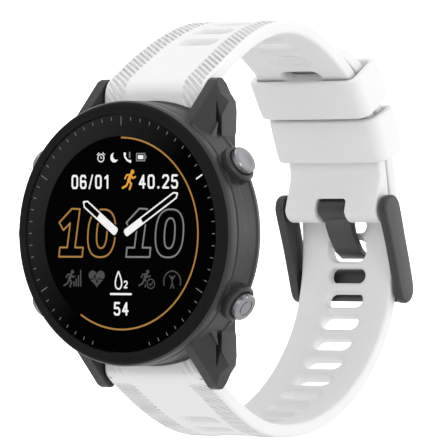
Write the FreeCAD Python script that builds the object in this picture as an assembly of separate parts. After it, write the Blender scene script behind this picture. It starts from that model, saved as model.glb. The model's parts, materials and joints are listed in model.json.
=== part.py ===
import FreeCAD, Part
import math, os
from FreeCAD import Vector as V

os.makedirs("parts", exist_ok=True)

# ---------------------------------------------------------------- driving dimensions (mm)
# Modelled with the dial centre as origin (dial faces -Y, 12 o'clock is +Z, 3 o'clock is +X),
# then every node is moved by -WRIST_Y so that the origin is the middle of the wrist loop.
WRIST_Y = 38.0        # depth of the wrist centre behind the dial
CASE_R = 23.25        # 46.5 mm case
CAV_R = 19.8          # inside radius of the case
LENS_R = 20.87
LENS_Y0, LENS_Y1 = -0.45, 0.35
LEDGE_Y = 0.60        # lens ledge of the case
BEZEL_Y = 2.90        # foot of the bezel
CASE_BACK = 11.30
LUG_IN = 11.15        # half the lug gap, for a 22 mm strap
BAR_Y, BAR_Z = 10.8, 24.95   # spring bar centre
BAR_R = 0.75
BTN_Y = 6.35          # button axis depth
BTN_ANGLES = {"start": 30.0, "back": -30.0, "light": 150.0, "up": 180.0, "down": 210.0}
CAP_R, STEM_R = 2.5, 1.20
CAP_IN, CAP_OUT = 24.15, 25.95
COLLAR_R, COLLAR_TOP, RECESS_R, RECESS_FLOOR = 3.40, 24.75, 2.62, 23.28
TRAVEL = 0.8
# strap
T = 2.5               # strap thickness
HW_LUG, HW_MID, HW = 11.0, 10.65, 10.2
CY, CZ = 35.6, 5.6    # centre of the concentric part of the two strap layers
RI = 31.7             # outer face of the buckle-side strap
RO_IN = 31.85         # inner face of the tail
U0, UH = (10.85, 27.40), 33.67
USEG = [(10.113, -4.224), (8.076, -8.538), (6.05, -10.229), (5.083, -13.264), (5.027, -13.565), (6.043, -11.965), (7.113, -7.815)]
H_TOP, H_FOLD = -35.93, -81.0
TSEG = [(9.5, -7.5), (8, -7.5), (8, -10.7), (8, -18.2), (8, -12.8), (8, -13.0), (8, -13.6),
        (8, -12.0), (8, -13.8), (8, -16.2), (8, -8.7), (8, -2.1)]
H_TAIL = -77.5
SLOT_L, SLOT_W, SLOT_PITCH = 8.2, 2.8, 4.8
U_SLOT0, U_PITCH = 13.4, 5.12
# buckle
PB_Y, PB_Z = 65.15, 4.50      # buckle bar centre
FOLD_R = 2.60
ARM_IN, ARM_OUT = 10.70, 12.50
# keepers
# each keeper: strap direction at its middle, its own tilt, half length, half height of its channel, radius of its middle
KP = {"keeper_upper": (-49.0, -58.0, 3.85, 3.60, 31.625), "keeper_lower": (-66.8, -67.5, 4.20, 3.00, 31.775)}
KP_WALL = 1.15
KP_HX_IN, KP_HX = 10.75, 12.2

def rad(a):
    return math.radians(a)

def out(name, shape):
    s = shape.copy()
    s.translate(V(0, -WRIST_Y, 0))
    s.exportStep("parts/%s.step" % name)
    sol = s.Solids
    print("%-24s solids %2d valid %s vol %.2f" % (name, len(sol), s.isValid(), s.Volume))

def yz_face(pts, x=0.0):
    w = Part.makePolygon([V(x, p[0], p[1]) for p in pts] + [V(x, pts[0][0], pts[0][1])])
    return Part.Face(w)

def yz_prism(pts, x0, x1):
    return yz_face(pts, x0).extrude(V(x1 - x0, 0, 0))

def revolve_y(profile):
    """profile of (radius, y), revolved about the dial axis (Y)"""
    w = Part.makePolygon([V(r, y, 0) for r, y in profile] + [V(profile[0][0], profile[0][1], 0)])
    return Part.Face(w).revolve(V(0, 0, 0), V(0, 1, 0), 360)

def cyl_y(r, y0, y1, x=0, z=0):
    return Part.makeCylinder(r, y1 - y0, V(x, y0, z), V(0, 1, 0))

def cyl_x(r, x0, x1, y, z):
    return Part.makeCylinder(r, x1 - x0, V(x0, y, z), V(1, 0, 0))

def cyl_rad(r, a0, a1, ang):
    """cylinder on a button axis from radius a0 to a1"""
    d = V(math.cos(rad(ang)), 0, math.sin(rad(ang)))
    return Part.makeCylinder(r, a1 - a0, V(d.x * a0, BTN_Y, d.z * a0), d)

def box(x0, x1, y0, y1, z0, z1):
    return Part.makeBox(x1 - x0, y1 - y0, z1 - z0, V(x0, y0, z0))

def compound(l):
    return Part.makeCompound(l)

def cut(a, tools):
    for t in tools:
        a = a.cut(t)
    return a

def single(s):
    s = s.removeSplitter()
    return s.Solids[0] if len(s.Solids) == 1 else Part.makeCompound(s.Solids)

# ---------------------------------------------------------------- case, bezel, lens
case = revolve_y([(19.2, LEDGE_Y), (21.45, LEDGE_Y), (21.45, BEZEL_Y), (23.05, BEZEL_Y), (23.25, 3.3),
                  (23.25, 5.2), (23.0, 5.6), (23.0, 8.6), (23.25, 9.0), (23.1, 9.8), (22.0, CASE_BACK),
                  (20.6, CASE_BACK), (20.6, 10.4), (CAV_R, 10.4), (CAV_R, 1.9), (19.2, 1.9)])
# screw positions
SCREW = [(18.2 * math.cos(rad(a)), 18.2 * math.sin(rad(a))) for a in (60, 120, 240, 300)]
# lugs: side profile crossed with the front outline
LUG_SIDE = [(3.0, 14.0), (3.0, 19.3), (3.5, 19.9), (10.6, 26.9), (11.4, 27.3), (12.4, 27.2), (13.1, 26.3),
            (13.4, 24.6), (13.5, 21.5), (12.9, 18.0), (11.2, 14.0)]
LUG_FRONT = [(LUG_IN, 13.0), (LUG_IN, 27.5), (12.9, 27.5), (13.2, 26.6), (14.0, 24.6), (15.1, 23.1), (15.7, 17.0), (17.0, 13.0)]
for sz in (1, -1):
    for sx in (1, -1):
        side = yz_prism([(y, sz * z) for y, z in LUG_SIDE], sx * LUG_IN, sx * 19.0)
        w = Part.makePolygon([V(sx * x, 0, sz * z) for x, z in LUG_FRONT] + [V(sx * LUG_FRONT[0][0], 0, sz * LUG_FRONT[0][1])])
        front = Part.Face(w).extrude(V(0, 20, 0))
        lug = side.common(front)
        # front outer bevel, square to the sloping front edge
        bev = Part.makePolygon([V(sx * 13.1, -1, 0), V(sx * 20, -1, 0), V(sx * 20, 3.5, 0), V(sx * 15.0, 3.3, 0),
                                V(sx * 13.1, 0, 0), V(sx * 13.1, -1, 0)])
        bev = Part.Face(bev).extrude(V(0, 0, sz * 32))
        bev.translate(V(0, 0, -sz * 12))
        bev.rotate(V(0, 0, 0), V(1, 0, 0), -44.6 * sz)
        bev.translate(V(0, 3.5, sz * 19.9))
        lug = lug.cut(bev)
        # parting groove between the lug arm and the rear plate, wider towards the button
        groove = yz_prism([(y, sz * z) for y, z in [(9.25, 23.1), (9.05, 23.1), (7.1, 17.6), (6.2, 13.5), (8.2, 13.5), (8.5, 17.0)]], sx * 13.3, sx * 19)
        lug = lug.cut(groove)
        case = case.fuse(lug)
# keep the cavity, the lens seat and the bezel seat clear of the lugs
case = case.cut(cyl_y(CAV_R, 1.9, 12.5)).cut(cyl_y(20.6, 10.4, 14.5))
case = case.cut(cyl_y(CASE_R + 3, -2, BEZEL_Y).cut(cyl_y(21.45, -3, BEZEL_Y + 1))).cut(cyl_y(19.2, -2, 3.0))
# screw bosses on the inner wall
for sx, sz in SCREW:
    case = case.fuse(cyl_y(1.9, 6.2, 10.4, sx, sz))
# button collars
for name, a in BTN_ANGLES.items():
    collar = cyl_rad(COLLAR_R, 21.0, COLLAR_TOP, a)
    cone = Part.makeCone(COLLAR_R, COLLAR_R - 0.35, 0.35,
                         V(math.cos(rad(a)) * (COLLAR_TOP - 0.35), BTN_Y, math.sin(rad(a)) * (COLLAR_TOP - 0.35)),
                         V(math.cos(rad(a)), 0, math.sin(rad(a))))
    collar = cyl_rad(COLLAR_R, 21.0, COLLAR_TOP - 0.35, a).fuse(cone)
    case = case.fuse(collar)
for name, a in BTN_ANGLES.items():
    case = case.cut(cyl_rad(RECESS_R, RECESS_FLOOR, COLLAR_TOP + 1, a))
    case = case.cut(cyl_rad(1.9, 21.6, RECESS_FLOOR + 0.1, a))
    case = case.cut(cyl_rad(STEM_R + 0.06, 18.0, 22.0, a))
# spring bar holes and screw holes
for sz in (1, -1):
    case = case.cut(cyl_x(0.5, -12.6, -LUG_IN + 0.5, BAR_Y, sz * BAR_Z))
    case = case.cut(cyl_x(0.5, LUG_IN - 0.5, 12.6, BAR_Y, sz * BAR_Z))
for sx, sz in SCREW:
    case = case.cut(cyl_y(0.80, 6.6, 10.5, sx, sz))
out("case_body", single(case))

bezel = revolve_y([(20.95, LEDGE_Y), (20.95, -0.25), (21.10, -0.40), (22.35, -0.18), (22.70, 0.05), (23.12, 0.85),
                   (CASE_R, 1.15), (CASE_R, 2.75), (23.10, BEZEL_Y), (21.5, BEZEL_Y), (21.5, LEDGE_Y)])
out("bezel", bezel)
out("lens", revolve_y([(0, LENS_Y0), (LENS_R - 0.2, LENS_Y0), (LENS_R, LENS_Y0 + 0.2), (LENS_R, LENS_Y1), (0, LENS_Y1)]))
out("lens_gasket", revolve_y([(19.4, LENS_Y1), (20.7, LENS_Y1), (20.7, LEDGE_Y), (19.4, LEDGE_Y)]))
disp = cyl_y(18.9, LENS_Y1, 1.9)
out("display_module", disp)
# display frame with a slot for the display cable
frame = cyl_y(19.6, 1.9, 2.7).cut(box(-5, 5, 1.8, 2.8, -18.5, -17.0))
out("display_frame", frame)
out("gnss_antenna", revolve_y([(18.4, 2.7), (19.6, 2.7), (19.6, 3.3), (18.4, 3.3)]).cut(box(-2, 2, 2, 4, 15, 22)))
# main board with parts on both sides
pcb = cyl_y(18.1, 3.3, 4.2)
pcb = pcb.cut(box(-19, 19, 3, 5, -19, -17.2))
chips = [box(-7, 1, 2.7, 3.3, -3, 5), box(3, 9, 2.7, 3.3, -2, 4), box(-4, 4, 2.7, 3.3, -12, -8), box(-10, -8, 2.7, 3.3, 6, 10)]
for c in chips:
    pcb = pcb.fuse(c)
out("main_board", single(pcb))
out("battery", box(-12, 12, 4.2, 9.1, -11, 9))
out("vibration_motor", cyl_y(3.5, 4.2, 6.9, 0, 13.0))
out("piezo_buzzer", cyl_y(4.5, 9.7, 10.4, -12.5, 0))
# tactile switches hang from the board, one behind each button stem
sw = []
for a in BTN_ANGLES.values():
    b = box(15.3, 17.3, 4.2, 8.2, -1.7, 1.7).fuse(Part.makeCylinder(0.9, 0.75, V(17.3, BTN_Y, 0), V(1, 0, 0)))
    b = b.rotated(V(0, 0, 0), V(0, 1, 0), -a)
    sw.append(b)
out("tactile_switches", compound(sw))

# ---------------------------------------------------------------- rear cover and what is in it
cover = revolve_y([(8.5, 10.4), (19.7, 10.4), (19.7, 10.75), (20.5, 10.75), (20.5, 11.75), (20.2, 12.0), (15.6, 12.0),
                   (14.2, 13.55), (13.7, 13.75), (9.65, 13.95), (9.65, 12.9), (8.5, 12.9)])
PORT_Z = -17.35
port = box(-3.4, 3.4, 11.2, 12.5, PORT_Z - 1.1, PORT_Z + 1.1).fuse(cyl_y(1.1, 11.2, 12.5, -3.4, PORT_Z)).fuse(cyl_y(1.1, 11.2, 12.5, 3.4, PORT_Z))
cover = cover.cut(port)
PINX = (-2.85, -0.95, 0.95, 2.85)
for px in PINX:
    cover = cover.cut(cyl_y(0.52, 10.0, 12.0, px, PORT_Z))
for sx, sz in SCREW:
    cover = cover.cut(cyl_y(0.9, 10, 13, sx, sz)).cut(cyl_y(1.45, 11.3, 13, sx, sz))
out("rear_cover", single(cover))
out("charging_contacts", compound([cyl_y(0.5, 10.4, 11.75, px, PORT_Z) for px in PINX]))
out("case_seal", revolve_y([(19.85, 10.4), (20.45, 10.4), (20.45, 10.75), (19.85, 10.75)]))
scr = []
for sx, sz in SCREW:
    s = cyl_y(1.35, 11.3, 11.9, sx, sz).fuse(cyl_y(0.75, 6.8, 11.3, sx, sz))
    s = s.cut(cyl_y(0.5, 11.55, 12.0, sx, sz))
    scr.append(s)
out("rear_screws", compound(scr))
win = revolve_y([(0, 12.9), (9.6, 12.9), (9.6, 13.75), (8.8, 13.95), (0, 13.95)])
out("sensor_window", win)
board = cyl_y(8.4, 11.7, 12.3)
for ang in (0, 90, 180, 270):
    board = board.fuse(box(3.6, 6.4, 12.3, 12.9, -1.4, 1.4).rotated(V(0, 0, 0), V(0, 1, 0), ang))
board = board.fuse(box(-1.3, 1.3, 12.3, 12.9, -1.3, 1.3))
out("sensor_board", single(board))

# ---------------------------------------------------------------- buttons
for name, a in BTN_ANGLES.items():
    d = V(math.cos(rad(a)), 0, math.sin(rad(a)))
    cap = cyl_rad(CAP_R, CAP_IN, CAP_OUT - 0.2, a).fuse(
        Part.makeCone(CAP_R, CAP_R - 0.2, 0.2, V(d.x * (CAP_OUT - 0.2), BTN_Y, d.z * (CAP_OUT - 0.2)), d))
    cap = cap.fuse(cyl_rad(STEM_R, 18.95, CAP_IN, a))
    # neck of the stem for the retaining clip
    cap = cap.cut(cyl_rad(STEM_R + 0.2, 19.15, 19.5, a).cut(cyl_rad(0.8, 19.0, 19.6, a)))
    if name == "start":
        cap = cap.cut(Part.makeSphere(9.0, V(d.x * (CAP_OUT + 8.85), BTN_Y, d.z * (CAP_OUT + 8.85))))
    if name == "back":
        # engraved plain ring
        ring = cyl_rad(1.55, CAP_OUT - 0.15, CAP_OUT + 0.5, a).cut(cyl_rad(1.25, CAP_OUT - 0.2, CAP_OUT + 0.6, a))
        cap = cap.cut(ring)
    out("button_" + name, single(cap))
clips, seals = [], []
for a in BTN_ANGLES.values():
    clips.append(cyl_rad(1.75, 19.17, 19.48, a).cut(cyl_rad(0.82, 19.0, 19.6, a)))
    seals.append(cyl_rad(1.86, 21.7, 23.2, a).cut(cyl_rad(STEM_R + 0.04, 21.0, 23.6, a)))
for (name, a), c in zip(BTN_ANGLES.items(), clips):
    out("clip_" + name, c)
out("button_seals", compound(seals))

# ---------------------------------------------------------------- spring bars
for nm, sz in (("upper", 1), ("lower", -1)):
    z = sz * BAR_Z
    bar = cyl_x(BAR_R, -10.95, 3.9, BAR_Y, z).fuse(cyl_x(0.45, -12.3, -10.9, BAR_Y, z))
    out("spring_bar_" + nm, bar)
    pin = cyl_x(BAR_R - 0.03, 5.9, 10.9, BAR_Y, z).fuse(cyl_x(0.45, 10.8, 12.3, BAR_Y, z))
    # lever towards the wrist
    lev = box(6.9, 8.1, BAR_Y, BAR_Y + 3.0, z - 0.5, z + 0.5).fuse(cyl_y(0.85, BAR_Y + 2.2, BAR_Y + 3.3, 7.5, z))
    out("release_pin_" + nm, pin.fuse(lev))

# ---------------------------------------------------------------- straps
def n_right(h):
    return (math.sin(rad(h)), -math.cos(rad(h)))

def pos(P, h, L, d, t):
    """point after the fraction t of an arc of length L that turns by d degrees"""
    if abs(d) < 1e-9:
        return (P[0] + L * t * math.cos(rad(h)), P[1] + L * t * math.sin(rad(h)))
    R = L / rad(d)
    return (P[0] + R * (math.sin(rad(h + d * t)) - math.sin(rad(h))), P[1] - R * (math.cos(rad(h + d * t)) - math.cos(rad(h))))

def off(P, h, o):
    n = n_right(h)
    return (P[0] + o * n[0], P[1] + o * n[1])

def v3(p, x=0.0):
    return V(x, p[0], p[1])

def band_face(P0, h0, segs, o0, o1, x, cap=None):
    """closed face between the offsets o0 and o1 (to the right of travel) along tangent arcs"""
    eo, ei = [], []
    P, h = P0, h0
    first_o, first_i = off(P, h, o0), off(P, h, o1)
    for L, d in segs:
        Pm, Pe = pos(P, h, L, d, 0.5), pos(P, h, L, d, 1.0)
        hm, he = h + d / 2.0, h + d
        for lst, o in ((eo, o0), (ei, o1)):
            a, b, c = off(P, h, o), off(Pm, hm, o), off(Pe, he, o)
            if abs(d) < 1e-9:
                lst.append(Part.LineSegment(v3(a, x), v3(c, x)).toShape())
            else:
                lst.append(Part.Arc(v3(a, x), v3(b, x), v3(c, x)).toShape())
        P, h = Pe, he
    last_o, last_i = off(P, h, o0), off(P, h, o1)
    edges = eo + [Part.LineSegment(v3(last_o, x), v3(last_i, x)).toShape()] + ei + \
        [Part.LineSegment(v3(first_i, x), v3(first_o, x)).toShape()]
    w = Part.Wire(Part.__sortEdges__(edges))
    return Part.Face(w)

def band(P0, h0, segs, o0, o1, hw):
    return band_face(P0, h0, segs, o0, o1, -hw).extrude(V(2 * hw, 0, 0))

def kp(h, R):
    return (CY - R * math.sin(rad(h)), CZ + R * math.cos(rad(h)))

def arc_seg(h0, h1, R):
    return [(R * rad(abs(h1 - h0)), h1 - h0)]

def stadium(P, h, L, W, depth):
    """slot tool: long side across the strap (X), centred on P, cutting along the normal"""
    b = box(-L / 2 + W / 2, L / 2 - W / 2, -W / 2, W / 2, -depth, depth)
    for s in (-1, 1):
        b = b.fuse(Part.makeCylinder(W / 2, 2 * depth, V(s * (L / 2 - W / 2), 0, -depth), V(0, 0, 1)))
    b.rotate(V(0, 0, 0), V(1, 0, 0), h)
    b.translate(V(0, P[0], P[1]))
    return b

def walk(P0, h0, segs, s):
    P, h = P0, h0
    for L, d in segs:
        if s <= L:
            return pos(P, h, L, d, s / L), h + d * s / L
        s -= L
        P, h = pos(P, h, L, d, 1.0), h + d
    return P, h

def clip_segs(segs, s0, s1):
    res, s = [], 0.0
    for L, d in segs:
        a, b = max(s, s0), min(s + L, s1)
        if b - a > 1e-6:
            res.append((b - a, d * (b - a) / L))
        s += L
    return res

# end block between the lugs, its front follows the round case
def end_block(sz, top_pts, heel_pts):
    pts = top_pts + heel_pts
    b = yz_prism([(y, sz * z) for y, z in pts], -HW_LUG, HW_LUG)
    b = b.cut(revolve_y([(0, 0), (CASE_R + 0.15, 0), (CASE_R + 0.15, 9.95), (22.15, 11.5), (21.9, 12.5), (21.9, 20), (0, 20)]))
    return b

def bar_bore(sz):
    z = sz * BAR_Z
    t = cyl_x(BAR_R + 0.05, -12, 12, BAR_Y, z)
    s = box(4.9, 8.5, BAR_Y, BAR_Y + 6.0, z - 0.6, z + 0.6)
    s2 = box(4.3, 8.8, BAR_Y + 1.75, BAR_Y + 6.0, z - 1.1, z + 1.1)
    return [t, s, s2]

# buckle-side strap
U_ARC = arc_seg(H_TOP, H_FOLD, RI)
U_ALL = USEG + U_ARC
U_LEN = sum(L for L, d in U_ALL)
def u_at(s):
    return walk(U0, UH, U_ALL, s)
up = None
for s0, s1, hw in ((0.0, 8.0, HW_LUG), (8.0, 16.0, HW_MID), (16.0, U_LEN, HW)):
    P, h = u_at(s0)
    b = band(P, h, clip_segs(U_ALL, s0, s1), 0.0, T, hw)
    up = b if up is None else up.fuse(b)
blk = end_block(1, [(9.42, 20.0), (9.42, 24.74), (9.62, 25.80), (10.12, 26.72), U0], [off(*u_at(5.0), T), (14.6, 26.4), (13.6, 24.4), (13.0, 20.0)])
# the block's top follows the straight line up to the band
blk2 = yz_prism([U0, u_at(2.5)[0], u_at(5.0)[0], off(*u_at(5.0), T), (14.6, 26.4), (12, 24)], -HW_LUG, HW_LUG)
up = up.fuse(blk).fuse(blk2)
# folded end round the buckle bar
Pe, he = u_at(U_LEN)
Pi = off(Pe, he, T)
tang = (PB_Y + FOLD_R * math.sin(rad(-he)), PB_Z + FOLD_R * math.cos(rad(-he)))
fold = yz_prism([Pe, tang, (PB_Y, PB_Z), (PB_Y - FOLD_R, PB_Z), Pi], -HW, HW).fuse(cyl_x(FOLD_R, -HW, HW, PB_Y, PB_Z))
up = up.fuse(fold)
up = up.cut(cyl_x(1.02, -12, 12, PB_Y, PB_Z))
# window for the tongue, open towards the bottom
up = up.cut(box(-3.35, 3.35, PB_Y - 4, PB_Y + 4, PB_Z - 4, PB_Z + 2.35))
for t in bar_bore(1):
    up = up.cut(t)
US = [U_SLOT0 + U_PITCH * k for k in range(0, 8)]
for s in US:
    P, h = u_at(s)
    up = up.cut(stadium(P, h, SLOT_L, SLOT_W, 5.0))
out("strap_buckle_side", single(up))
print("buckle strap length", U_LEN, "slots at", US)

# tail strap: from the tip through the keepers, round the wrist to the lower lugs
RO = RO_IN + T
H_TIP = -38.5
TAIL = arc_seg(H_TIP, H_TAIL, RO) + TSEG
TP0, TH0 = kp(H_TIP, RO), H_TIP
T_LEN = sum(L for L, d in TAIL)
def t_at(s):
    return walk(TP0, TH0, TAIL, s)
tl = None
for s0, s1, hw in ((0.0, T_LEN - 16.0, HW), (T_LEN - 16.0, T_LEN - 8.0, HW_MID), (T_LEN - 8.0, T_LEN, HW_LUG)):
    P, h = t_at(s0)
    b = band(P, h, clip_segs(TAIL, s0, s1), 0.0, T, hw)
    tl = b if tl is None else tl.fuse(b)
# tapered, rounded tip
tipo, tipi = TP0, off(TP0, TH0, T)
bk = (-math.cos(rad(TH0)), -math.sin(rad(TH0)))
tn = n_right(TH0)
e_o = (tipo[0] + 4.2 * bk[0] + 1.15 * tn[0], tipo[1] + 4.2 * bk[1] + 1.15 * tn[1])
e_i = (tipi[0] + 4.2 * bk[0] - 0.15 * tn[0], tipi[1] + 4.2 * bk[1] - 0.15 * tn[1])
tip = yz_prism([tipo, tipi, e_i, e_o], -HW, HW)
tl = tl.fuse(tip)
def tm(s):
    (y, z), h = t_at(T_LEN - s)
    return (y, -z)
def tmi(s):
    P, h = t_at(T_LEN - s)
    y, z = off(P, h, T)
    return (y, -z)
L0 = tm(0.0)
blk = end_block(-1, [(9.45, 20.0), (9.45, 23.75), (9.50, 24.50), (9.90, 25.35), (10.40, 25.96), L0], [tmi(4.0), (14.3, 25.9), (13.6, 24.2), (13.0, 20.0)])
blk2 = yz_prism([(y, -z) for y, z in [L0, tm(2.0), tm(4.0), tmi(4.0), (14.3, 25.9), (12, 24)]], -HW_LUG, HW_LUG)
tl = tl.fuse(blk).fuse(blk2)
for t in bar_bore(-1):
    tl = tl.cut(t)
# slot that holds the tongue is at the height z = -3.3 of the inner face
best = min((abs(off(*t_at(s / 50.0), T)[1] + 3.3) + (0 if s / 50.0 < 60 else 100), s / 50.0) for s in range(0, int(T_LEN * 50)))
TONGUE_S = best[1]
TS = [TONGUE_S + SLOT_PITCH * k for k in range(-2, 15)]
for k, s in zip(range(-2, 15), TS):
    P, h = t_at(s)
    tl = tl.cut(stadium(off(P, h, T / 2), h, SLOT_L, 4.2 if k == 0 else SLOT_W, 2.6))
    if k == 0:
        # the tongue's slot is pulled open on its wrist side
        P, h = t_at(s - 0.75)
        tl = tl.cut(stadium(off(P, h, T), h, SLOT_L, 5.2, 1.15))
out("strap_tail_side", single(tl))
print("tail length", T_LEN, "tongue slot s", TONGUE_S, "slots at", TS, "last", [t_at(s)[0] for s in TS][-1])

# ---------------------------------------------------------------- keepers
def keeper(hc, ht, hl, ch, mid):
    # straight block, made along +Y with its outer side up, then tilted and set on the strap's middle line
    c = 1.0
    ro = ch + KP_WALL
    outer = [(-KP_HX + c, -ro), (KP_HX - c, -ro), (KP_HX, -ro + c), (KP_HX, ro - c), (KP_HX - c, ro), (-KP_HX + c, ro), (-KP_HX, ro - c), (-KP_HX, -ro + c)]
    inner = [(-KP_HX_IN, -ch), (KP_HX_IN, -ch), (KP_HX_IN, ch), (-KP_HX_IN, ch)]
    def blk(pts):
        w = Part.makePolygon([V(x, -hl, z) for x, z in pts] + [V(pts[0][0], -hl, pts[0][1])])
        return Part.Face(w).extrude(V(0, 2 * hl, 0))
    k = blk(outer).cut(blk(inner))
    k.rotate(V(0, 0, 0), V(1, 0, 0), ht)
    (y, z) = kp(hc, mid)
    k.translate(V(0, y, z))
    return k
for nm in ("keeper_upper", "keeper_lower"):
    out(nm, single(keeper(*KP[nm])))

# ---------------------------------------------------------------- buckle
out("buckle_bar", cyl_x(0.95, -ARM_OUT + 0.5, ARM_OUT - 0.5, PB_Y, PB_Z))
ARM = [(PB_Y - 2.3, PB_Z + 0.4), (PB_Y - 1.9, PB_Z + 1.6), (PB_Y - 0.8, PB_Z + 2.35), (PB_Y + 0.6, PB_Z + 2.45), (PB_Y + 1.8, PB_Z + 1.75),
       (PB_Y + 2.6, PB_Z + 0.3), (69.4, -0.6), (70.9, -5.4), (71.95, -9.4), (71.95, -10.9), (71.2, -12.2), (69.9, -12.8),
       (68.7, -12.4), (67.9, -11.2), (66.9, -8.0), (65.2, -2.6), (PB_Y - 2.1, PB_Z - 1.2)]
frame = None
for sx in (1, -1):
    a = yz_prism(ARM, sx * ARM_IN, sx * ARM_OUT)
    frame = a if frame is None else frame.fuse(a)
XB = [(71.25, -6.9), (71.9, -7.1), (72.3, -9.4), (72.1, -10.9), (71.2, -12.3), (70.4, -12.6), (69.95, -12.2), (70.75, -9.4)]
frame = frame.fuse(yz_prism(XB, -ARM_IN - 0.1, ARM_IN + 0.1))
frame = frame.cut(cyl_x(1.0, -ARM_OUT + 0.45, ARM_OUT - 0.45, PB_Y, PB_Z))
out("buckle_frame", single(frame))
# tongue: barrel on the bar and a bent shank through the slot
TG = [(PB_Y - 0.3, PB_Z - 1.2), (PB_Y + 0.30, PB_Z - 3.4), (66.40, -0.70), (68.55, -3.55), (70.6, -4.75), (71.25, -4.75), (71.35, -4.1),
      (69.45, -2.75), (67.55, -0.10), (66.9, 2.2), (PB_Y + 1.95, PB_Z)]
tg = yz_prism(TG, -2.85, 2.85).fuse(cyl_x(2.0, -2.85, 2.85, PB_Y, PB_Z))
tg = tg.cut(cyl_x(1.0, -4, 4, PB_Y, PB_Z))
out("buckle_tongue", single(tg))
print("done")
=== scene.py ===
import bpy, bmesh, json, math
import numpy as np
from mathutils import Vector, Matrix


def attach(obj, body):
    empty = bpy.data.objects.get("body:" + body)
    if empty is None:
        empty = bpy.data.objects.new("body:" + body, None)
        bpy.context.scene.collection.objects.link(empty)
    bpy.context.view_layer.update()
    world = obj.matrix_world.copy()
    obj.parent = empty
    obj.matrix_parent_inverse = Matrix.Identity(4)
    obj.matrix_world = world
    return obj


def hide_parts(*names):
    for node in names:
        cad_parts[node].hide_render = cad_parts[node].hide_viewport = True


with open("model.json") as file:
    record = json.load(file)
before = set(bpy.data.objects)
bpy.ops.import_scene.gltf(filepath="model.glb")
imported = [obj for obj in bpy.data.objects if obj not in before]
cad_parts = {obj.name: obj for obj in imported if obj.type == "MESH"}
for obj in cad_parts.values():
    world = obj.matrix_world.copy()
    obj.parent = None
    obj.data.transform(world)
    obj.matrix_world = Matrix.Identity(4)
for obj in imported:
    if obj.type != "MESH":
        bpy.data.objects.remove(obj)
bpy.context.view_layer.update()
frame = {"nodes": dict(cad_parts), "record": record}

WY = 38.0            # wrist centre behind the dial, mm
MM = 0.001
NODES = frame["nodes"]
COL = bpy.context.scene.collection


def rad(a):
    return math.radians(a)


# ------------------------------------------------------------------ materials
def new_mat(name):
    m = bpy.data.materials.new(name)
    m.use_nodes = True
    nt = m.node_tree
    for n in list(nt.nodes):
        nt.nodes.remove(n)
    return m, nt


def add(nt, kind, **kw):
    n = nt.nodes.new(kind)
    for k, v in kw.items():
        if k in n.inputs:
            n.inputs[k].default_value = v
        else:
            setattr(n, k, v)
    return n


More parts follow.
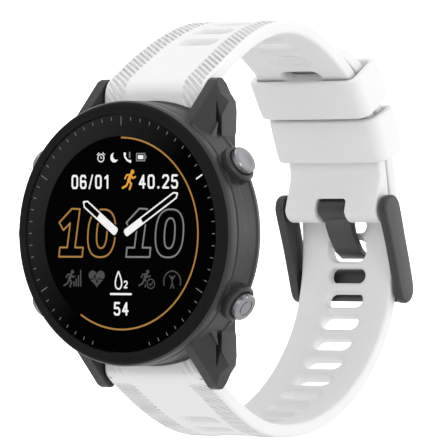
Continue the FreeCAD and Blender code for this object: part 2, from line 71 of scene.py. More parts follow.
def surface(name, base, rough=0.5, metal=0.0, grain=900.0, grain_h=0.03, rough_var=0.08, tone=0.06,
            blotch=60.0, sheen=0.0, coat=0.0, coat_rough=0.1, spec=0.5, brushed=None, bevel=0.0, aniso=0.0,
            sss=0.0, wear=0.0, painted_crease_shade=0.0):
    """a procedural surface: toned base, broken-up roughness, fine grain in the bump"""
    m, nt = new_mat(name)
    out = add(nt, "ShaderNodeOutputMaterial")
    p = add(nt, "ShaderNodeBsdfPrincipled")
    p.inputs["Metallic"].default_value = metal
    p.inputs["Specular IOR Level"].default_value = spec
    p.inputs["Sheen Weight"].default_value = sheen
    p.inputs["Coat Weight"].default_value = coat
    p.inputs["Coat Roughness"].default_value = coat_rough
    p.inputs["Anisotropic"].default_value = aniso
    if sss > 0:
        p.inputs["Subsurface Weight"].default_value = sss
        p.inputs["Subsurface Radius"].default_value = (1.0, 0.9, 0.8)
        p.inputs["Subsurface Scale"].default_value = 0.0012
    tc = add(nt, "ShaderNodeTexCoord")
    mp = add(nt, "ShaderNodeMapping")
    nt.links.new(tc.outputs["Object"], mp.inputs["Vector"])
    if brushed is not None:
        mp.inputs["Scale"].default_value = brushed
    n1 = add(nt, "ShaderNodeTexNoise", Scale=grain, Detail=4.0, Roughness=0.6)
    nt.links.new(mp.outputs["Vector"], n1.inputs["Vector"])
    n2 = add(nt, "ShaderNodeTexNoise", Scale=blotch, Detail=3.0, Roughness=0.55)
    nt.links.new(tc.outputs["Object"], n2.inputs["Vector"])
    # colour: base toned by the slow noise
    ramp = add(nt, "ShaderNodeMapRange")
    ramp.inputs["To Min"].default_value = 1.0 - tone
    ramp.inputs["To Max"].default_value = 1.0 + tone
    nt.links.new(n2.outputs["Fac"], ramp.inputs["Value"])
    hsv = add(nt, "ShaderNodeHueSaturation")
    hsv.inputs["Color"].default_value = (*base, 1.0)
    nt.links.new(ramp.outputs["Result"], hsv.inputs["Value"])
    nt.links.new(hsv.outputs["Color"], p.inputs["Base Color"])
    # painted shade: where ambient occlusion finds grooves, slots and tight gaps, the base colour is darkened by up to
    # this amount
    if painted_crease_shade > 0:
        ao = add(nt, "ShaderNodeAmbientOcclusion", samples=6)
        ao.inputs["Distance"].default_value = 0.0009
        nt.links.new(hsv.outputs["Color"], ao.inputs["Color"])
        cr = add(nt, "ShaderNodeMapRange")
        cr.inputs["From Min"].default_value = 0.25
        cr.inputs["From Max"].default_value = 0.85
        cr.inputs["To Min"].default_value = 1.0 - painted_crease_shade
        cr.inputs["To Max"].default_value = 1.0
        nt.links.new(ao.outputs["AO"], cr.inputs["Value"])
        ao_shaded_colour = add(nt, "ShaderNodeHueSaturation")
        nt.links.new(hsv.outputs["Color"], ao_shaded_colour.inputs["Color"])
        nt.links.new(cr.outputs["Result"], ao_shaded_colour.inputs["Value"])
        nt.links.new(ao_shaded_colour.outputs["Color"], p.inputs["Base Color"])
    rr = add(nt, "ShaderNodeMapRange")
    rr.inputs["From Min"].default_value = 0.25
    rr.inputs["From Max"].default_value = 0.75
    rr.inputs["To Min"].default_value = max(0.02, rough - rough_var)
    rr.inputs["To Max"].default_value = min(1.0, rough + rough_var)
    mixn = add(nt, "ShaderNodeMath", operation="ADD")
    half = add(nt, "ShaderNodeMath", operation="MULTIPLY")
    half.inputs[1].default_value = 0.5
    nt.links.new(n1.outputs["Fac"], mixn.inputs[0])
    nt.links.new(n2.outputs["Fac"], mixn.inputs[1])
    nt.links.new(mixn.outputs[0], half.inputs[0])
    nt.links.new(half.outputs[0], rr.inputs["Value"])
    nt.links.new(rr.outputs["Result"], p.inputs["Roughness"])
    b = add(nt, "ShaderNodeBump")
    b.inputs["Strength"].default_value = 1.0
    b.inputs["Distance"].default_value = grain_h * 0.001
    nt.links.new(n1.outputs["Fac"], b.inputs["Height"])
    if bevel > 0:
        bv = add(nt, "ShaderNodeBevel", samples=4)
        bv.inputs["Radius"].default_value = bevel * MM
        nt.links.new(bv.outputs["Normal"], b.inputs["Normal"])
    nt.links.new(b.outputs["Normal"], p.inputs["Normal"])
    if wear > 0:
        geo = add(nt, "ShaderNodeNewGeometry")
        wr = add(nt, "ShaderNodeMapRange")
        wr.inputs["From Min"].default_value = 0.52
        wr.inputs["From Max"].default_value = 0.62
        nt.links.new(geo.outputs["Pointiness"], wr.inputs["Value"])
        mul = add(nt, "ShaderNodeMath", operation="MULTIPLY")
        nt.links.new(wr.outputs["Result"], mul.inputs[0])
        nt.links.new(n2.outputs["Fac"], mul.inputs[1])
        mx = add(nt, "ShaderNodeMixRGB")
        mx.inputs["Color2"].default_value = (min(1, base[0] * 2.2 + wear), min(1, base[1] * 2.2 + wear), min(1, base[2] * 2.2 + wear), 1)
        nt.links.new(mul.outputs[0], mx.inputs["Fac"])
        nt.links.new(hsv.outputs["Color"], mx.inputs["Color1"])
        nt.links.new(mx.outputs["Color"], p.inputs["Base Color"])
    nt.links.new(p.outputs["BSDF"], out.inputs["Surface"])
    return m


def glow(name, colour, strength=1.0, flick=0.05, painted_reflection_dir=None):
    """a lit display element with a very slight unevenness; given a direction, it carries a painted reflection, bright
    towards that (x, z) direction and darkening across the dial away from it
    """
    m, nt = new_mat(name)
    out = add(nt, "ShaderNodeOutputMaterial")
    e = add(nt, "ShaderNodeEmission")
    tc = add(nt, "ShaderNodeTexCoord")
    n = add(nt, "ShaderNodeTexNoise", Scale=900.0, Detail=2.0)
    nt.links.new(tc.outputs["Object"], n.inputs["Vector"])
    r = add(nt, "ShaderNodeMapRange")
    r.inputs["To Min"].default_value = strength * (1 - flick)
    r.inputs["To Max"].default_value = strength * (1 + flick)
    nt.links.new(n.outputs["Fac"], r.inputs["Value"])
    e.inputs["Color"].default_value = (*colour, 1)
    # painted reflection: the glow is full towards the given direction and falls to a few percent across the dial away
    # from it
    if painted_reflection_dir:
        d = add(nt, "ShaderNodeVectorMath", operation="DOT_PRODUCT")
        d.inputs[1].default_value = (painted_reflection_dir[0], 0.0, painted_reflection_dir[1])
        nt.links.new(tc.outputs["Object"], d.inputs[0])
        q = add(nt, "ShaderNodeMapRange")
        q.inputs["From Min"].default_value = -1.9 * MM
        q.inputs["From Max"].default_value = 18.9 * MM
        q.inputs["To Min"].default_value = 0.04
        q.inputs["To Max"].default_value = 1.0
        nt.links.new(d.outputs["Value"], q.inputs["Value"])
        k = add(nt, "ShaderNodeMath", operation="MULTIPLY")
        nt.links.new(r.outputs["Result"], k.inputs[0])
        nt.links.new(q.outputs["Result"], k.inputs[1])
        nt.links.new(k.outputs[0], e.inputs["Strength"])
    else:
        nt.links.new(r.outputs["Result"], e.inputs["Strength"])
    nt.links.new(e.outputs["Emission"], out.inputs["Surface"])
    return m


def clear_glass(name, tint=(1, 1, 1), refl=0.035, rough=0.03):
    """a thin clear pane: sees through, with a weak broken-up reflection"""
    m, nt = new_mat(name)
    out = add(nt, "ShaderNodeOutputMaterial")
    t = add(nt, "ShaderNodeBsdfTransparent")
    t.inputs["Color"].default_value = (*tint, 1)
    g = add(nt, "ShaderNodeBsdfGlossy")
    tc = add(nt, "ShaderNodeTexCoord")
    n = add(nt, "ShaderNodeTexNoise", Scale=70.0, Detail=5.0, Roughness=0.6)
    nt.links.new(tc.outputs["Object"], n.inputs["Vector"])
    r = add(nt, "ShaderNodeMapRange")
    r.inputs["To Min"].default_value = rough * 0.5
    r.inputs["To Max"].default_value = rough * 1.8
    nt.links.new(n.outputs["Fac"], r.inputs["Value"])
    nt.links.new(r.outputs["Result"], g.inputs["Roughness"])
    f = add(nt, "ShaderNodeMapRange")
    f.inputs["To Min"].default_value = refl * 0.8
    f.inputs["To Max"].default_value = refl * 1.2
    nt.links.new(n.outputs["Fac"], f.inputs["Value"])
    mx = add(nt, "ShaderNodeMixShader")
    nt.links.new(f.outputs["Result"], mx.inputs["Fac"])
    nt.links.new(t.outputs["BSDF"], mx.inputs[1])
    nt.links.new(g.outputs["BSDF"], mx.inputs[2])
    nt.links.new(mx.outputs["Shader"], out.inputs["Surface"])
    return m


M = {
    # the silicone carries painted shade in its grooves, slots and gaps
    "silicone": surface("silicone_white", (0.89, 0.89, 0.89), rough=0.62, grain=2600, grain_h=0.012, rough_var=0.07,
                        tone=0.012, blotch=140, sheen=0.1, spec=0.35, painted_crease_shade=0.40),
    "case": surface("case_polymer", (0.022, 0.022, 0.0225), rough=0.36, grain=5200, grain_h=0.010, rough_var=0.08,
                    tone=0.10, blotch=300, spec=0.42, bevel=0.22, wear=0.003),
    "bezel": surface("bezel_polymer", (0.011, 0.011, 0.0112), rough=0.46, grain=5200, grain_h=0.012, rough_var=0.08,
                     tone=0.10, blotch=260, spec=0.03, wear=0.002),
    "cover": surface("cover_polymer", (0.012, 0.012, 0.013), rough=0.55, grain=6000, grain_h=0.015, tone=0.08,
                     blotch=260, bevel=0.12),
    "buckle": surface("buckle_metal", (0.066, 0.066, 0.068), rough=0.33, metal=0.6, grain=4200, grain_h=0.012,
                      rough_var=0.07, tone=0.08, blotch=220, wear=0.02, spec=0.35),
    "steel": surface("button_steel", (0.31, 0.31, 0.32), rough=0.24, metal=1.0, grain=700, grain_h=0.004,
                     rough_var=0.07, tone=0.05, blotch=400, brushed=(1, 1, 9), bevel=0.10),
    "bar": surface("bar_steel", (0.5, 0.5, 0.5), rough=0.3, metal=1.0, grain=900, grain_h=0.005, tone=0.05, brushed=(1, 6, 6)),
    "gasket": surface("gasket_black", (0.012, 0.012, 0.012), rough=0.7, grain=3000, grain_h=0.01),
    "metal": surface("frame_metal", (0.55, 0.55, 0.57), rough=0.35, metal=1.0, grain=1500, grain_h=0.004, brushed=(8, 1, 1)),
    "copper": surface("antenna_copper", (0.72, 0.40, 0.20), rough=0.35, metal=1.0, grain=1500, grain_h=0.004),
    "board": surface("board_green", (0.02, 0.10, 0.05), rough=0.45, grain=1200, grain_h=0.02, tone=0.2, blotch=500),
    "foil": surface("battery_foil", (0.55, 0.56, 0.58), rough=0.33, metal=1.0, grain=600, grain_h=0.02),
    "brass": surface("contact_gold", (0.80, 0.58, 0.22), rough=0.25, metal=1.0, grain=1500, grain_h=0.003),
    "plastic": surface("switch_plastic", (0.05, 0.05, 0.05), rough=0.5, grain=2000, grain_h=0.01),
    "display": surface("display_black", (0.004, 0.004, 0.005), rough=0.2, grain=2000, grain_h=0.001, spec=0.3),
    "screw": surface("screw_steel", (0.35, 0.35, 0.36), rough=0.35, metal=1.0, grain=1200, grain_h=0.004, brushed=(6, 1, 1)),
    "sensor": surface("sensor_glass", (0.006, 0.006, 0.007), rough=0.08, grain=900, grain_h=0.0005, coat=0.6, coat_rough=0.04, rough_var=0.03),
    "lens": clear_glass("lens_glass", refl=0.0, rough=0.22),
}
SLOT_MAT = {"case_polymer": "case", "bezel_polymer": "bezel", "lens_glass": "lens", "display_black": "display",
            "gasket_black": "gasket", "frame_metal": "metal", "antenna_copper": "copper", "board_green": "board",
            "battery_foil": "foil", "motor_steel": "bar", "buzzer_brass": "brass", "switch_plastic": "plastic",
            "cover_polymer": "cover", "contact_gold": "brass", "screw_steel": "screw", "sensor_glass": "sensor",
            "button_steel": "steel", "clip_steel": "bar", "bar_steel": "bar", "silicone_white": "silicone",
            "buckle_metal": "buckle"}
for sp in frame["record"]["subparts"]:
    o = NODES[sp["node"]]
    o.data.materials.clear()
    o.data.materials.append(M[SLOT_MAT[sp["material_slot"]]])


# ------------------------------------------------------------------ mesh helpers (mm, dial frame)
def to_row(co):
    co = np.array(co, float).copy()
    co[:, 1] -= WY
    return co * MM


def make(name, verts, faces, mat, body="watch", smooth=35.0, slot=None, rep=None):
    me = bpy.data.meshes.new(name)
    me.from_pydata([tuple(v) for v in to_row(verts)], [], [tuple(f) for f in faces])
    me.validate()
    me.update()
    bm = bmesh.new()
    bm.from_mesh(me)
    bmesh.ops.recalc_face_normals(bm, faces=bm.faces)
    bm.to_mesh(me)
    bm.free()
    if smooth:
        me.polygons.foreach_set("use_smooth", [True] * len(me.polygons))
        me.set_sharp_from_angle(angle=rad(smooth))
    o = bpy.data.objects.new(name, me)
    COL.objects.link(o)
    me.materials.append(mat)
    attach(o, body)
    if rep:
        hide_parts(*([rep] if isinstance(rep, str) else rep))
    return o


def revolve(name, profile, mat, segs=256, closed=True, **kw):
    """profile of (radius, y) about the dial axis"""
    n = len(profile)
    V_, F_ = [], []
    for i in range(segs):
        a = 2 * math.pi * i / segs
        for r, y in profile:
            V_.append((r * math.cos(a), y, r * math.sin(a)))
    for i in range(segs):
        j = (i + 1) % segs
        for k in range(n if closed else n - 1):
            l = (k + 1) % n
            F_.append((i * n + k, i * n + l, j * n + l, j * n + k))
    return make(name, V_, F_, mat, **kw)


def apply_mods(o):
    dg = bpy.context.evaluated_depsgraph_get()
    me = bpy.data.meshes.new_from_object(o.evaluated_get(dg))
    o.modifiers.clear()
    old = o.data
    o.data = me
    bpy.data.meshes.remove(old)
    return o


def temp_obj(name, verts, faces):
    me = bpy.data.meshes.new(name)
    me.from_pydata([tuple(v) for v in verts], [], [tuple(f) for f in faces])
    me.update()
    bm = bmesh.new()
    bm.from_mesh(me)
    bmesh.ops.recalc_face_normals(bm, faces=bm.faces)
    bm.to_mesh(me)
    bm.free()
    o = bpy.data.objects.new(name, me)
    COL.objects.link(o)
    return o


def cut_with(o, cutters, solver="MANIFOLD"):
    for c in cutters:
        md = o.modifiers.new("cut", "BOOLEAN")
        md.operation = "DIFFERENCE"
        md.object = c
        md.solver = solver
    apply_mods(o)
    for c in cutters:
        me = c.data
        bpy.data.objects.remove(c)
        bpy.data.meshes.remove(me)


# ------------------------------------------------------------------ strap paths
T = 2.5
CY, CZ, RI, RO_IN = 35.6, 5.6, 31.7, 31.85
U0, UH = (10.85, 27.40), 33.67
USEG = [(10.113, -4.224), (8.076, -8.538), (6.05, -10.229), (5.083, -13.264), (5.027, -13.565), (6.043, -11.965), (7.113, -7.815)]
H_TOP, H_FOLD = -35.93, -81.0
TSEG = [(9.5, -7.5), (8, -7.5), (8, -10.7), (8, -18.2), (8, -12.8), (8, -13.0), (8, -13.6),
        (8, -12.0), (8, -13.8), (8, -16.2), (8, -8.7), (8, -2.1)]
H_TAIL, H_TIP = -77.5, -38.5
RO = RO_IN + T
SLOT_L, SLOT_W, PITCH = 8.2, 2.8, 4.8
PB_Y, PB_Z, FOLD_R = 65.15, 4.50, 2.60
U_ALL = USEG + [(RI * rad(abs(H_FOLD - H_TOP)), H_FOLD - H_TOP)]
U_LEN = sum(l for l, d in U_ALL)
TAIL = [(RO * rad(abs(H_TAIL - H_TIP)), H_TAIL - H_TIP)] + TSEG
T_LEN = sum(l for l, d in TAIL)
# strap ends beyond the lug line: (distance along the strap, depth of the outer face, depth of the inner face)
U_END = [(-5.0, 4.95, 7.35), (-4.0, 3.44, 7.35), (-3.3, 2.38, 7.35), (-2.66, 1.42, 7.35), (-2.3, 1.04, 7.33), (-2.0, 0.78, 7.0), (-1.4, 0.38, 6.3), (-0.7, 0.12, 5.5),
         (0.0, 0.02, 4.75), (0.63, 0.0, 4.02), (1.6, 0.0, 3.3), (2.57, 0.0, 2.91), (4.0, 0.0, 2.62), (5.5, 0.0, 2.5)]
L_END = [(-4.8, 4.34, 6.6), (-4.0, 3.12, 6.6), (-3.4, 2.22, 6.6), (-2.81, 1.32, 6.6), (-2.36, 0.74, 6.6), (-2.0, 0.45, 6.5), (-1.55, 0.23, 6.0), (-0.9, 0.06, 5.3),
         (-0.3, 0.0, 4.6), (0.9, 0.0, 3.23), (2.4, 0.0, 2.85), (4.0, 0.0, 2.6), (5.5, 0.0, 2.5)]


def end_top(s, tab):
    return float(np.interp(s, [p[0] for p in tab], [p[1] for p in tab]))


def end_bot(s, tab):
    return float(np.interp(s, [p[0] for p in tab], [p[2] for p in tab]))


TP0 = (CY - RO * math.sin(rad(H_TIP)), CZ + RO * math.cos(rad(H_TIP)))


def pos(P, h, L, d, t):
    if abs(d) < 1e-9:
        return (P[0] + L * t * math.cos(rad(h)), P[1] + L * t * math.sin(rad(h)))
    R = L / rad(d)
    return (P[0] + R * (math.sin(rad(h + d * t)) - math.sin(rad(h))), P[1] - R * (math.cos(rad(h + d * t)) - math.cos(rad(h))))


def walk(P, h, segs, s):
    if s <= 0:
        return (P[0] + s * math.cos(rad(h)), P[1] + s * math.sin(rad(h))), h
    for L, d in segs:
        if s <= L:
            return pos(P, h, L, d, s / L), h + d * s / L
        s -= L
        P, h = pos(P, h, L, d, 1.0), h + d
    return (P[0] + s * math.cos(rad(h)), P[1] + s * math.sin(rad(h))), h


def bend(co, P0, h0, segs):
    """flat strap coordinates (x, s, n) to the dial frame; n is measured inwards from the outer face"""
    out = np.empty_like(co)
    cache = {}
    for i, (x, s, n) in enumerate(co):
        k = round(s, 5)
        if k not in cache:
            P, h = walk(P0, h0, segs, k)
            cache[k] = (P[0], P[1], math.sin(rad(h)), -math.cos(rad(h)))
        py, pz, ny, nz = cache[k]
        out[i] = (x, py + n * ny, pz + n * nz)
    return out


def smoothstep(a, b, t):
    t = np.clip((t - a) / (b - a), 0, 1)
    return t * t * (3 - 2 * t)


def flat_strap(name, svals, hw_fn, top_fn, bot_fn, fine=0.16, edge_r=0.60):
    """closed band in flat coordinates. top_fn(x, s, hw) and bot_fn(x, s, hw) give n"""
    # fractions across the width, dense over the ribbed strips
    def xs(hw):
        a = np.linspace(-hw + edge_r, -hw + 4.9, int(4.3 / fine))
        b = np.linspace(-hw + 4.9, hw - 4.9, 16)[1:-1]
        return np.concatenate([a, b, -a[::-1]])
    xb = lambda hw: np.linspace(hw - edge_r, -hw + edge_r, 16)
    rings = []
    for s in svals:
        hw = hw_fn(s)
        x = xs(hw)
        top = np.stack([x, np.full_like(x, s), top_fn(x, s, hw)], 1)
        x2 = xb(hw)
        bot = np.stack([x2, np.full_like(x2, s), bot_fn(x2, s, hw)], 1)
        def side(sg, n0, n1):
            er = min(edge_r, (n1 - n0) / 2 - 0.02)
            pts = []
            for k in range(1, 7):
                a = rad(90 - 15 * k)
                pts.append((sg * (hw - er + er * math.cos(a)) if True else 0, s, n0 + er - er * math.sin(a)))
            for k in range(0, 6):
                a = rad(15 * k)
                pts.append((sg * (hw - er + er * math.cos(a)), s, n1 - er + er * math.sin(a)))
            return np.array(pts)
        right = side(1, top[-1, 2], bot[0, 2])
        left = side(-1, top[0, 2], bot[-1, 2])[::-1]
        rings.append(np.concatenate([top, right, bot, left]))
    n = len(rings[0])
    V_ = np.concatenate(rings)
    F_ = []
    for i in range(len(rings) - 1):
        a, b = i * n, (i + 1) * n
        for k in range(n):
            l = (k + 1) % n
            F_.append((a + k, a + l, b + l, b + k))
    # end caps as fans of quads between top and bottom: a centre vertex fan keeps it simple
    for base, rev in ((0, False), ((len(rings) - 1) * n, True)):
        c = len(V_)
        V_ = np.concatenate([V_, rings[0 if base == 0 else -1].mean(0)[None]])
        for k in range(n):
            l = (k + 1) % n
            F_.append((base + l, base + k, c) if not rev else (base + k, base + l, c))
    return temp_obj(name, V_, F_)


def slot_cutter(s, L=SLOT_L, W=SLOT_W, flare=0.55, n_top=0.0, n_bot=T, seg=10, relief=None):
    """stadium tool with soft flared mouths at both faces; with relief it only goes that deep from the inner face"""
    prof = [(-1.2, flare * 1.05), (n_top - 0.02, flare * 1.0), (n_top + 0.10, flare * 0.62), (n_top + 0.25, flare * 0.33), (n_top + 0.42, flare * 0.12),
            (n_top + 0.65, 0.0), (n_bot - 0.65, 0.0), (n_bot - 0.42, flare * 0.12), (n_bot - 0.25, flare * 0.33), (n_bot - 0.10, flare * 0.62),
            (n_bot + 0.02, flare), (n_bot + 1.2, flare * 1.05)]
    if relief is not None:
        prof = [(n_bot - relief, 0.0), (n_bot - 0.42, flare * 0.12), (n_bot - 0.25, flare * 0.33), (n_bot - 0.10, flare * 0.62),
                (n_bot + 0.02, flare), (n_bot + 1.2, flare * 1.05)]
    V_, F_ = [], []
    for n, g in prof:
        r = W / 2 + g
        h = L / 2 - W / 2
        for c, a0 in ((h, -90), (-h, 90)):
            for k in range(seg + 1):
                a = rad(a0 + 180.0 * k / seg)
                V_.append((c + r * math.cos(a), s + r * math.sin(a), n))
    m = 2 * (seg + 1)
    for i in range(len(prof) - 1):
        for k in range(m):
            l = (k + 1) % m
            F_.append((i * m + k, i * m + l, (i + 1) * m + l, (i + 1) * m + k))
    F_.append(tuple(range(m))[::-1])
    F_.append(tuple((len(prof) - 1) * m + k for k in range(m)))
    return temp_obj("slot_cut", V_, F_)


RIB_P, RIB_T = 1.15, 0.745


def rib(x, s, sign):
    """depth of the diagonal grooves, 0 on the land and 1 at the bottom of a groove"""
    ph = (s + sign * RIB_T * x) / RIB_P
    u = np.abs((ph - np.floor(ph)) - 0.5) * 2.0        # 0 mid-groove, 1 mid-land
    return 1.0 - smoothstep(0.28, 0.62, u)


def strip_mask(x, hw):
    ax = np.abs(x)
    return smoothstep(hw - 4.72, hw - 4.52, ax) * (1 - smoothstep(hw - 0.82, hw - 0.64, ax))


def top_profile(rib_end, sign, lug_end=None, len_total=None, flip=False, rib_depth=0.40):
    def fn(x, s, hw):
        sl = (len_total - s) if flip else s
        m = strip_mask(x, hw)
        painted_reflection_dir = 1.0 - smoothstep(rib_end - 2.5, rib_end + 0.5, sl)
        # centre panel lies lower than the strips, and meets them in a soft step
        cen = 1.0 - smoothstep(hw - 4.85, hw - 4.45, np.abs(x))
        edge = smoothstep(hw - 0.95, hw - 0.6, np.abs(x))
        lug = smoothstep(0.5, 5.0, sl)
        near = 1.0 if not flip else 0.15 + 0.85 * float(smoothstep(-0.4, 1.6, sl)) + 0.85 * float(1 - smoothstep(-3.2, -2.0, sl))
        n = 0.20 * cen * painted_reflection_dir * lug + rib_depth * near * m * rib(x, sl, sign) * painted_reflection_dir + 0.02
        # a slight crown across the width
        n = n + 0.10 * (np.abs(x) / hw) ** 4
        return n
    return fn


# ---- buckle-side strap, with the end that is folded round the buckle bar
FS = 0.13
FOLD_S = math.hypot(PB_Y + FOLD_R * math.sin(rad(-H_FOLD)) - walk(U0, UH, U_ALL, U_LEN)[0][0],
                    PB_Z + FOLD_R * math.cos(rad(-H_FOLD)) - walk(U0, UH, U_ALL, U_LEN)[0][1])
END_S = U_LEN + FOLD_S
sv = np.concatenate([np.linspace(-5.0, 29.0, int(34.0 / FS)), np.linspace(29.0, END_S, 100)[1:],
                     [END_S + FOLD_R * math.sin(rad(a)) for a in range(8, 89, 8)] + [END_S + FOLD_R * 0.9995]])


def u_hw(s):
    return 10.97 - 0.77 * float(smoothstep(3.0, 22.0, np.array(s)))


u_top0 = top_profile(28.0, 1)


def fold_round(s):
    """how far the two faces have closed in on the rounded end"""
    if s <= END_S:
        return 0.0
    return FOLD_R - math.sqrt(max(0.0, FOLD_R ** 2 - (s - END_S) ** 2))


def u_top(x, s, hw):
    return u_top0(x, s, hw) + fold_round(s) + end_top(s, U_END)


def ub(x, s, hw):
    n = end_bot(s, U_END) if s < U_LEN else T + (2 * FOLD_R - T) * min(1.0, (s - U_LEN) / FOLD_S)
    return np.full_like(x, n - fold_round(s))


strap_u = flat_strap("strap_buckle_side_v", sv, u_hw, u_top, ub)
US = [13.4 + 5.12 * k for k in range(0, 8)]
# window for the tongue: rounded corners, open at the end
WT = 2.06


def window_tool():
    pts = [(-3.35, END_S + 6), (-3.35, END_S - WT + 0.7)]
    pts += [(-3.35 + 0.7 - 0.7 * math.cos(rad(a)), END_S - WT + 0.7 - 0.7 * math.sin(rad(a))) for a in range(15, 91, 15)]
    pts += [(-x, s_) for x, s_ in pts[::-1]]
    V_ = [(x, s_, -1.0) for x, s_ in pts] + [(x, s_, 7.0) for x, s_ in pts]
    n = len(pts)
    F_ = [(i, (i + 1) % n, n + (i + 1) % n, n + i) for i in range(n)] + [tuple(range(n))[::-1], tuple(range(n, 2 * n))]
    return temp_obj("window_cut", V_, F_)


cut_with(strap_u, [slot_cutter(s) for s in US] + [window_tool()])
co = np.array([v.co[:] for v in strap_u.data.vertices])
co = bend(co, U0, UH, U_ALL)
for v, c in zip(strap_u.data.vertices, co):
    v.co = c


def cyl_tool(axis, r, a, b, c1, c2, seg=128):
    """cylinder along 'x' or 'y' from a to b; c1, c2 the other two coordinates"""
    V_, F_ = [], []
    for t in (a, b):
        for k in range(seg):
            u, w = c1 + r * math.cos(2 * math.pi * k / seg), c2 + r * math.sin(2 * math.pi * k / seg)
            V_.append((t, u, w) if axis == "x" else (u, t, w))
    for k in range(seg):
        l = (k + 1) % seg
        F_.append((k, l, seg + l, seg + k))
    F_.append(tuple(range(seg))[::-1])
    F_.append(tuple(seg + k for k in range(seg)))
    return temp_obj("tool", V_, F_)


def turned_tool(prof, seg=256):
    V_ = [(0.0, prof[0][1], 0.0), (0.0, prof[-1][1], 0.0)]
    mid = prof[1:-1]
    n = len(mid)
    for i in range(seg):
        a = 2 * math.pi * i / seg
        V_ += [(r * math.cos(a), y, r * math.sin(a)) for r, y in mid]
    F_ = []
    for i in range(seg):
        j = (i + 1) % seg
        for k in range(n - 1):
            F_.append((2 + i * n + k, 2 + i * n + k + 1, 2 + j * n + k + 1, 2 + j * n + k))
        F_.append((0, 2 + i * n, 2 + j * n))
        F_.append((1, 2 + j * n + n - 1, 2 + i * n + n - 1))
    return temp_obj("tool", V_, F_)


def box_tool(x0, x1, y0, y1, z0, z1):
    V_ = [(x, y, z) for x in (x0, x1) for y in (y0, y1) for z in (z0, z1)]
    F_ = [(0, 1, 3, 2), (4, 6, 7, 5), (0, 4, 5, 1), (2, 3, 7, 6), (0, 2, 6, 4), (1, 5, 7, 3)]
    return temp_obj("tool", V_, F_)


def drop_slivers(me, few=60):
    """removes the loose slivers that a cut leaves, islands of only a few faces"""
    bm = bmesh.new()
    bm.from_mesh(me)
    bm.faces.ensure_lookup_table()
    seen, gone = set(), []
    for f0 in bm.faces:
        if f0.index in seen:
            continue
        seen.add(f0.index)
        isle, todo = [f0], [f0]
        while todo:
            for e in todo.pop().edges:
                if len(e.link_faces) == 2:
                    for g in e.link_faces:
                        if g.index not in seen:
                            seen.add(g.index)
                            isle.append(g)
                            todo.append(g)
        if len(isle) < few:
            gone += isle
    if gone:
        bmesh.ops.delete(bm, geom=gone, context="FACES")
    bm.to_mesh(me)
    bm.free()


def finish_strap(o, name, sz, rep):
    z = sz * 24.95
    # round case, spring-bar bore, release-lever recess
    tools = [turned_tool([(0.0, -5), (23.33, -5), (23.33, 9.95), (22.15, 11.5), (21.9, 12.5), (21.9, 30), (0.0, 30)]), cyl_tool("x", 0.80, -12, 12, 10.8, z, 32),
             box_tool(4.9, 8.5, 10.8, 18.0, z - 0.6, z + 0.6), box_tool(4.3, 8.8, 12.55, 18.0, z - 1.1, z + 1.1)]
    cut_with(o, tools)
    me = o.data
    drop_slivers(me)
    for v in me.vertices:
        v.co = Vector(((v.co.x) * MM, (v.co.y - WY) * MM, v.co.z * MM))
    o.name = name
    me.polygons.foreach_set("use_smooth", [True] * len(me.polygons))
    me.set_sharp_from_angle(angle=rad(40))
    me.materials.clear()
    me.materials.append(M["silicone"])
    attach(o, "watch")
    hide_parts(rep)
    return o


def prism(name, pts, x0, x1, edge=0.5, k=5):
    """rounded-edge prism of a YZ outline, the outline shrunk towards its ends in X"""
    P = np.array(pts)
    n = len(P)
    # inward normals of the outline
    area = 0.5 * sum(P[i, 0] * P[(i + 1) % n, 1] - P[(i + 1) % n, 0] * P[i, 1] for i in range(n))
    sgn = 1.0 if area > 0 else -1.0
    N = np.zeros_like(P)
    for i in range(n):
        a, b, c = P[i - 1], P[i], P[(i + 1) % n]
        e1, e2 = (b - a), (c - b)
        e1 = e1 / (np.hypot(*e1) + 1e-9); e2 = e2 / (np.hypot(*e2) + 1e-9)
        n1, n2 = sgn * np.array([-e1[1], e1[0]]), sgn * np.array([-e2[1], e2[0]])
        m = n1 + n2
        l = np.hypot(*m) + 1e-9
        m = m / l
        N[i] = m / max(0.5, float(np.dot(m, n1)))
    st = []
    for i in range(k + 1):
        a = rad(90.0 * i / k)
        st.append((x0 + edge * (1 - math.sin(a)), edge * (1 - math.cos(a))))
    st = [(x0 + edge - edge * math.sin(rad(90.0 * (k - i) / k)), edge - edge * math.cos(rad(90.0 * (k - i) / k))) for i in range(k + 1)]
    rings = []
    for i in range(k + 1):
        a = rad(90.0 * i / k)          # 0: end face, 90: full size
        rings.append((x0 + edge * (1 - math.cos(a)) , edge * (1 - math.sin(a))))
    rings2 = [(x1 - (x - x0), ins) for x, ins in rings[::-1]]
    V_, F_ = [], []
    for x, ins in rings + rings2:
        Q = P + N * ins
        V_ += [(x, q[0], q[1]) for q in Q]
    R_ = len(rings) * 2
    for i in range(R_ - 1):
        for j in range(n):
            l = (j + 1) % n
            F_.append((i * n + j, i * n + l, (i + 1) * n + l, (i + 1) * n + j))
    F_.append(tuple(range(n))[::-1])
    F_.append(tuple((R_ - 1) * n + j for j in range(n)))
    return V_, F_


strap_u = finish_strap(strap_u, "strap_buckle_side_v", 1, "strap_buckle_side")

# ---- tail strap (from the tip to the lower lugs)
def t_hw(s):
    sl = T_LEN - s
    w = 10.97 - 0.77 * float(smoothstep(3.0, 22.0, np.array(sl)))
    return w


TIPL = 4.3
TE_L = 4.8
tv = np.concatenate([np.linspace(-TIPL, 4, 40), np.linspace(4, T_LEN - 40.0, 190)[1:], np.linspace(T_LEN - 40.0, T_LEN + TE_L, int((40.0 + TE_L) / FS))[1:]])


def tip_hw(s):
    if s < 4.0:
        u = (s + TIPL) / (4.0 + TIPL)
        u = min(max(u, 0.0), 1.0)
        return t_hw(s) * (0.62 + 0.38 * math.sqrt(max(0.0, 1 - (1 - u) ** 2)))
    return t_hw(s)


t_top0 = top_profile(38.0, -1, len_total=T_LEN, flip=True)


